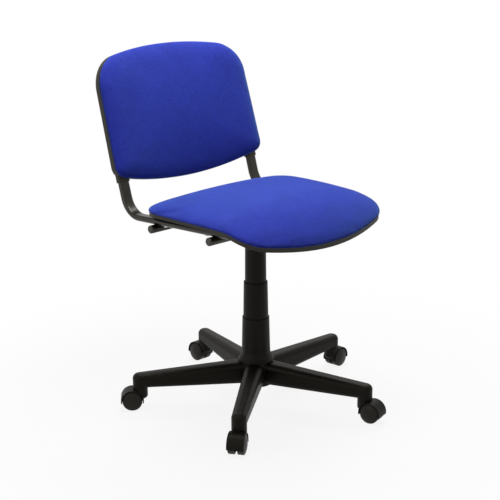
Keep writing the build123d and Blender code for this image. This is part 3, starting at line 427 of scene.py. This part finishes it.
def slot_finishes():
    """The finish of each material slot."""
    return {
        "nylon_black": moulded_plastic("nylon_black", light=(0.016, 0.015, 0.013), grain=1500.0,
                                       gloss=0.42, sheen=0.13),
        "cover_black": moulded_plastic("cover_black", light=(0.013, 0.012, 0.0105), grain=2200.0,
                                       gloss=0.42, sheen=0.12),
        "shell_black": moulded_plastic("shell_black", light=(0.018, 0.016, 0.014), grain=1100.0,
                                       gloss=0.44, sheen=0.36),
        "wheel_black": wheel_plastic("wheel_black"),
        "frame_black": powder_coat("frame_black"),
        "column_steel": drawn_metal("column_steel", dark=(0.05, 0.05, 0.05), light=(0.12, 0.12, 0.12),
                                    base_rough=0.30),
        "zinc_steel": drawn_metal("zinc_steel", dark=(0.42, 0.42, 0.43), light=(0.62, 0.62, 0.60),
                                  base_rough=0.28),
        "rod_chrome": drawn_metal("rod_chrome", dark=(0.62, 0.62, 0.63), light=(0.72, 0.72, 0.73),
                                  base_rough=0.08),
        "bush_acetal": plain_polymer("bush_acetal", dark=(0.62, 0.61, 0.57), light=(0.74, 0.73, 0.69),
                                     base_rough=0.38, grain=700.0),
        "buffer_rubber": plain_polymer("buffer_rubber", dark=(0.012, 0.012, 0.012),
                                       light=(0.030, 0.030, 0.030), base_rough=0.7, grain=900.0),
        "plywood": birch_plywood("plywood"),
        "cushion_foam": cut_foam("cushion_foam"),
        "fabric_blue": woven_fabric("cover_cloth", SEAT_RUN),
    }


def finish_nodes():
    """Give every node the finish of its slot, and the scuffed star and the end plugs their own."""
    finishes = slot_finishes()
    worn_star = moulded_plastic("star_nylon", light=(0.025, 0.020, 0.015), grain=1500.0,
                                gloss=0.38, sheen=0.11, scuffs=0.5)
    end_plug = moulded_plastic("plug_plastic", light=(0.030, 0.028, 0.025), grain=1500.0,
                               gloss=0.42, sheen=0.60, dark=(0.010, 0.009, 0.008))
    own = {"base_star": worn_star, "cross_tube_plugs": end_plug, "side_tube_plugs": end_plug}
    for part in record["subparts"]:
        materials = nodes[part["node"]].data.materials
        materials.clear()
        materials.append(own.get(part["node"], finishes[part["material_slot"]]))


# ================================================================ cushions
def node_surface(name):
    """A node's mesh, ready for rays."""
    mesh = nodes[name].data
    return BVHTree.FromPolygons([corner.co for corner in mesh.vertices],
                                [face.vertices[:] for face in mesh.polygons])


def hull(points):
    """Outline of flat points, in order."""
    ordered = sorted(set(map(tuple, np.round(points, OUTLINE_DIGITS))))

    def half(sequence):
        chain = []
        for point in sequence:
            while len(chain) > 1 and cross(chain[-2], chain[-1], point) <= 0:
                chain.pop()
            chain.append(point)
        return chain[:-1]

    return np.array(half(ordered) + half(ordered[::-1]))


def cross(origin, first, second):
    """More than 0 where the second point is to the left of the way from the origin to the first."""
    return ((first[0] - origin[0]) * (second[1] - origin[1])
            - (first[1] - origin[1]) * (second[0] - origin[0]))


def edge_distance(points, outline):
    """How far each flat point is from the outline."""
    way = np.roll(outline, -1, axis=0) - outline
    reach = points[:, None, :] - outline[None, :, :]
    share = np.clip((reach * way).sum(2) / (way * way).sum(1), 0, 1)
    return np.linalg.norm(reach - share[:, :, None] * way, axis=2).min(1)


def outline_point(outline, centre, angles):
    """Where rays from the centre meet the outline."""
    relative = outline - centre
    bearings = np.arctan2(relative[:, 1], relative[:, 0])
    order = np.argsort(bearings)
    bearings = bearings[order]
    relative = relative[order]
    bearings = np.concatenate([bearings, [bearings[0] + 2 * np.pi]])
    relative = np.concatenate([relative, relative[:1]])
    angles = (angles - bearings[0]) % (2 * np.pi) + bearings[0]
    index = np.clip(np.searchsorted(bearings, angles, side="right") - 1, 0, len(bearings) - 2)
    first = relative[index]
    way = relative[index + 1] - first
    ray = np.stack([np.cos(angles), np.sin(angles)], axis=1)
    reach = ((first[:, 0] * way[:, 1] - first[:, 1] * way[:, 0])
             / (ray[:, 0] * way[:, 1] - ray[:, 1] * way[:, 0]))
    return ray * reach[:, None]


def ring_angles(across, along, half):
    """Bearings of a square grid's points, spread evenly along each side of their ring."""
    ring = np.maximum(abs(across), abs(along))
    quarter = np.minimum(abs(across), abs(along)) / np.maximum(ring, 1) * (math.pi / 4)
    beside = abs(across) >= abs(along)
    angles = np.where(beside, np.arctan2(np.sign(along) * np.tan(quarter), np.sign(across)),
                      np.arctan2(np.sign(along), np.sign(across) * np.tan(quarter)))
    return np.arctan2(np.sin(angles) * half[1], np.cos(angles) * half[0])


def cushion_grid(outline):
    """Flat points of a square grid laid in rings, from the outline to a rounder middle.

    The second result says how far out each point is, from 0 in the middle to 1 at the edge.
    """
    centre = (outline.min(0) + outline.max(0)) / 2
    half = (outline.max(0) - outline.min(0)) / 2
    steps = np.arange(-RINGS, RINGS + 1)
    across, along = (part.ravel() for part in np.meshgrid(steps, steps))
    angles = ring_angles(across, along, half)
    spread = np.sin(np.maximum(abs(across), abs(along)) / RINGS * math.pi / 2)
    edge = outline_point(outline, centre, angles)
    length = 1 / np.sqrt((np.cos(angles) / half[0])**2 + (np.sin(angles) / half[1])**2)
    oval = np.stack([np.cos(angles), np.sin(angles)], axis=1) * length[:, None]
    round_share = ((1 - spread**2) * MIDDLE_ROUNDNESS)[:, None]
    points = centre + spread[:, None] * (edge * (1 - round_share) + oval * round_share)
    return points, spread


def tucked(points):
    """The same points drawn in a little, for the turned-in cloth underneath."""
    centre = (points.min(0) + points.max(0)) / 2
    return centre + (points - centre) * TUCK


def grid_faces(first, flip):
    """Faces of a square grid whose first point has this number."""
    count = 2 * RINGS + 1
    faces = []
    for row in range(count - 1):
        for column in range(count - 1):
            corner = first + row * count + column
            face = (corner, corner + 1, corner + count + 1, corner + count)
            faces.append(face[::-1] if flip else face)
    return faces


def rim_faces(first, second):
    """Faces that join the edges of two square grids."""
    count = 2 * RINGS + 1
    edge = list(range(count))
    edge += [row * count + count - 1 for row in range(1, count)]
    edge += [(count - 1) * count + column for column in range(count - 2, -1, -1)]
    edge += [row * count for row in range(count - 2, 0, -1)]
    faces = []
    for this, following in zip(edge, edge[1:] + edge[:1]):
        faces.append((first + following, first + this, second + this, second + following))
    return faces


def edge_rise(distance, roll):
    """Share of full height that a rolled edge has reached at a distance from the outline."""
    return (1 - (1 - np.clip(distance / roll, 0, 1))**EDGE_POWER)**(1 / EDGE_POWER)


def bellied(points, risen, reach):
    """The points pushed outwards where the side is halfway up."""
    away = points - (points.min(0) + points.max(0)) / 2
    away /= np.maximum(np.linalg.norm(away, axis=1, keepdims=True), TINY)
    return points + away * (reach * 4 * risen * (1 - risen))[:, None]


def make_cushion(name, top, bottom, finish, body, replaced):
    """A closed padded piece from its two grids of points."""
    mesh = bpy.data.meshes.new(name)
    count = len(top)
    faces = grid_faces(0, False) + grid_faces(count, True) + rim_faces(0, count)
    mesh.from_pydata([tuple(point) for point in np.concatenate([top, bottom])], [], faces)
    shape = bmesh.new()
    shape.from_mesh(mesh)
    bmesh.ops.recalc_face_normals(shape, faces=shape.faces)
    shape.to_mesh(mesh)
    shape.free()
    piece = bpy.data.objects.new(name, mesh)
    bpy.context.scene.collection.objects.link(piece)
    swell(piece, count)
    mesh.materials.append(finish)
    mesh.shade_smooth()
    smooth = piece.modifiers.new("smooth", "SUBSURF")
    smooth.levels = 1
    smooth.render_levels = 1
    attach(piece, body)
    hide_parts(*replaced)


def mesh_points(mesh):
    """All points of a mesh, in metres."""
    points = np.empty(3 * len(mesh.vertices))
    mesh.vertices.foreach_get("co", points)
    return points.reshape(-1, 3)


def swell(piece, top_count):
    """Let the padded top press its cloth tight, held along its edge and underneath."""
    mesh = piece.data
    held = piece.vertex_groups.new(name="held")
    held.add(list(range(top_count, len(mesh.vertices))), 1.0, "REPLACE")
    cloth = piece.modifiers.new("cloth", "CLOTH")
    cloth.settings.vertex_group_mass = "held"
    for setting, value in CLOTH.items():
        setattr(cloth.settings, setting, value)
    cloth.settings.effector_weights.gravity = 0
    cloth.point_cache.frame_start = 1
    cloth.point_cache.frame_end = SWELL_FRAMES
    scene = bpy.context.scene
    for step in range(1, SWELL_FRAMES + 1):
        scene.frame_set(step)
    swollen = piece.evaluated_get(bpy.context.evaluated_depsgraph_get()).to_mesh()
    before = mesh_points(mesh)
    moved = mesh_points(swollen) - before
    piece.modifiers.remove(cloth)
    furthest = np.linalg.norm(moved, axis=1).max()
    mesh.vertices.foreach_set("co", (before + moved * min(1, SWELL_CAP / furthest)).ravel())
    mesh.update()
    piece.vertex_groups.clear()
    scene.frame_set(1)


def eased(value, start, length):
    """0 up to a start, then evenly up to 1 over a length."""
    return np.clip((value - start) / length, 0, 1)


def seat_cushion():
    """Domed seat padding that thins to the rim all round and laps over the shell's edge."""
    outline = hull(mesh_points(nodes["seat_cover"].data)[:, :2])
    points, spread = cushion_grid(outline)
    distance = edge_distance(points, outline)
    shell = node_surface("seat_shell")
    rim = []
    for corner in outline * RIM_INSET:
        hit = shell.ray_cast(Vector((corner[0], corner[1], PROBE_START)), Vector(DOWN))[0]
        if hit is not None:
            rim.append((hit.y, hit.z))
    rim = np.array(sorted(rim))
    rest = np.interp(points[:, 1], rim[:, 0], rim[:, 1]) + SEAM_CLEARANCE - SEAT_LAP * spread**LAP_POWER
    flat_share = eased(spread, SEAT_FLAT_SHARE, 1 - SEAT_FLAT_SHARE)
    rise = edge_rise(distance, SEAT_EDGE_ROLL)
    dome = SEAT_DOME * (1 - flat_share**2) + SEAT_CROWN * (1 - spread**2) + SEAT_EDGE_RISE * rise
    full = bellied(points, rise, SEAT_BELLY) * (1 + SEAT_STAND / outline[:, 0].max())
    board_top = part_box("seat_board")[1].z
    recess = (board_top - rim[:, 1].max() + SEAM_CLEARANCE) * eased(distance, BOARD_MARGIN, BOARD_EASE)
    make_cushion("seat_cushion", np.column_stack([full, rest + SEAT_FOLD + dome]),
                 np.column_stack([tucked(points), rest + np.minimum(recess, UNDERSIDE_LIMIT * dome)]),
                 woven_fabric("seat_cloth", SEAT_RUN), "seat", ("seat_cover", "seat_foam"))


def back_cushion():
    """Back padding with a rounded edge, curved round the sitter."""
    lean = back_lean()
    rise = Vector((0, math.sin(lean), math.cos(lean)))
    front = Vector((0, -math.cos(lean), math.sin(lean)))
    corners = mesh_points(nodes["back_cover"].data)
    outline = hull(np.column_stack([corners[:, 0], corners @ np.array(rise)]))
    points, spread = cushion_grid(outline)
    distance = edge_distance(points, outline)
    shell = node_surface("back_shell")
    rim = []
    middle = outline.mean(0)
    for corner in middle + (outline - middle) * RIM_INSET:
        start = Vector((corner[0], 0, 0)) + rise * corner[1] + front * PROBE_START
        hit = shell.ray_cast(start, -front)[0]
        if hit is not None:
            rim.append((abs(hit.x), hit.dot(front)))
    rim = np.array(sorted(rim))
    curve = np.polyfit(rim[:, 0]**2, rim[:, 1], 1)
    rest = np.polyval(curve, points[:, 0]**2) + SEAM_CLEARANCE
    risen = edge_rise(distance, BACK_EDGE_ROLL)
    dome = BACK_DOME * (1 - spread**2) + BACK_EDGE_RISE * risen
    recess = BACK_RECESS * eased(distance, BACK_MARGIN, BACK_EASE)

    def placed(flat_points, depth):
        return (flat_points[:, :1] * np.array(ACROSS) + flat_points[:, 1:] * np.array(rise)
                + depth[:, None] * np.array(front))

    make_cushion("back_cushion", placed(bellied(points, risen, BACK_BELLY), rest + BACK_FOLD + dome),
                 placed(tucked(points), rest + recess), woven_fabric("back_cloth", tuple(rise)), "seat",
                 ("back_cover", "back_foam"))


def back_lean():
    """How far the uprights lean back, in radians, from the line of a side tube's straight upper part."""
    corners = mesh_points(nodes["side_tube_left"].data)
    upper = corners[corners[:, 2] > corners[:, 2].max() - UPRIGHT_LENGTH]
    way = np.linalg.svd((upper - upper.mean(0))[:, 1:])[2][0]
    return math.atan2(abs(way[0]), abs(way[1]))


# ================================================================ room
def make_floor():
    """Pale seamless floor that keeps the chair's shadow and turns white further out."""
    shape = bmesh.new()
    bmesh.ops.create_circle(shape, cap_ends=True, cap_tris=False, segments=FLOOR_SEGMENTS,
                            radius=FLOOR_RADIUS)
    mesh = bpy.data.meshes.new("floor")
    shape.to_mesh(mesh)
    shape.free()
    floor = bpy.data.objects.new("floor", mesh)
    bpy.context.scene.collection.objects.link(floor)
    floor.location.z = frame_box[0].z - FLOOR_DROP
    mesh.materials.append(floor_finish())


def floor_finish():
    """Pale paint near the chair, which fades to white."""
    finish = Finish("pale_floor")
    place = finish.place()
    away = finish.node("ShaderNodeVectorMath", {"operation": "LENGTH"}, {0: place}, "Value")
    speckle = finish.noise(place, 300.0, 2.0)
    seen = finish.seen()
    share = seen * finish.ramped(away, FADE_START, FADE_END, NEAR_WHITE, 1.0)
    normal = finish.bumped(speckle, 0.05, 0.2 * MILLIMETRE)
    paint = finish.node("ShaderNodeBsdfPrincipled", {},
                        {"Base Color": finish.mixed(seen, FLOOR_PAINT, FLOOR_PAINT_SEEN),
                         "Roughness": 0.8, "Normal": normal, "Specular IOR Level": 0.1})
    white = finish.node("ShaderNodeEmission", {}, {"Color": colour4(WHITE), "Strength": 1.0})
    finish.end(finish.node("ShaderNodeMixShader", {}, {0: share, 1: paint, 2: white}))
    return finish.material


def make_world():
    """Pale light, brighter overhead than at the horizon, and white where it is seen directly."""
    world = bpy.data.worlds.new("studio")
    world.use_nodes = True
    bpy.context.scene.world = world
    sky = Finish.of_tree(world.node_tree)
    seen = sky.seen()
    height = sky.along(sky.node("ShaderNodeTexCoord", {}, {}, "Generated"), UP)
    lit = sky.ramped(height, LIGHT_START, 1.0, HORIZON_LIGHT, OVERHEAD_LIGHT)
    light = sky.node("ShaderNodeBackground", {},
                     {"Color": colour4(WHITE), "Strength": seen + lit * (1.0 - seen)})
    sky.end(light, "ShaderNodeOutputWorld")


def make_lamps():
    """Large soft lamps: a key overhead, one beside it, one low on the left and a weak fill."""
    for name, place, target, size, power in LAMPS:
        data = bpy.data.lights.new(name, "AREA")
        data.shape = "DISK"
        data.size = size
        data.energy = power
        lamp = bpy.data.objects.new(name, data)
        lamp.location = place
        lamp.rotation_euler = (Vector(target) - Vector(place)).to_track_quat("-Z", "Y").to_euler()
        bpy.context.scene.collection.objects.link(lamp)


def make_camera():
    """Camera at the viewing angle, with a little shift and roll."""
    azimuth = math.radians(VIEW_AZIMUTH)
    elevation = math.radians(VIEW_ELEVATION)
    back = Vector((math.sin(azimuth) * math.cos(elevation), -math.cos(azimuth) * math.cos(elevation),
                   math.sin(elevation)))
    data = bpy.data.cameras.new("camera")
    data.lens = LENS
    data.sensor_width = SENSOR_WIDTH
    data.shift_x = SHIFT_X
    data.shift_y = SHIFT_Y
    data.clip_end = FAR_CLIP
    camera = bpy.data.objects.new("camera", data)
    camera.location = VIEW_TARGET + back * VIEW_DISTANCE
    turn = (-back).to_track_quat("-Z", "Y").to_matrix() @ Matrix.Rotation(math.radians(VIEW_ROLL), 3, "Z")
    camera.rotation_euler = turn.to_euler()
    bpy.context.scene.collection.objects.link(camera)
    bpy.context.scene.camera = camera


finish_nodes()
seat_cushion()
back_cushion()
make_floor()
make_world()
make_lamps()
make_camera()
bpy.context.scene.view_settings.view_transform = "Standard"
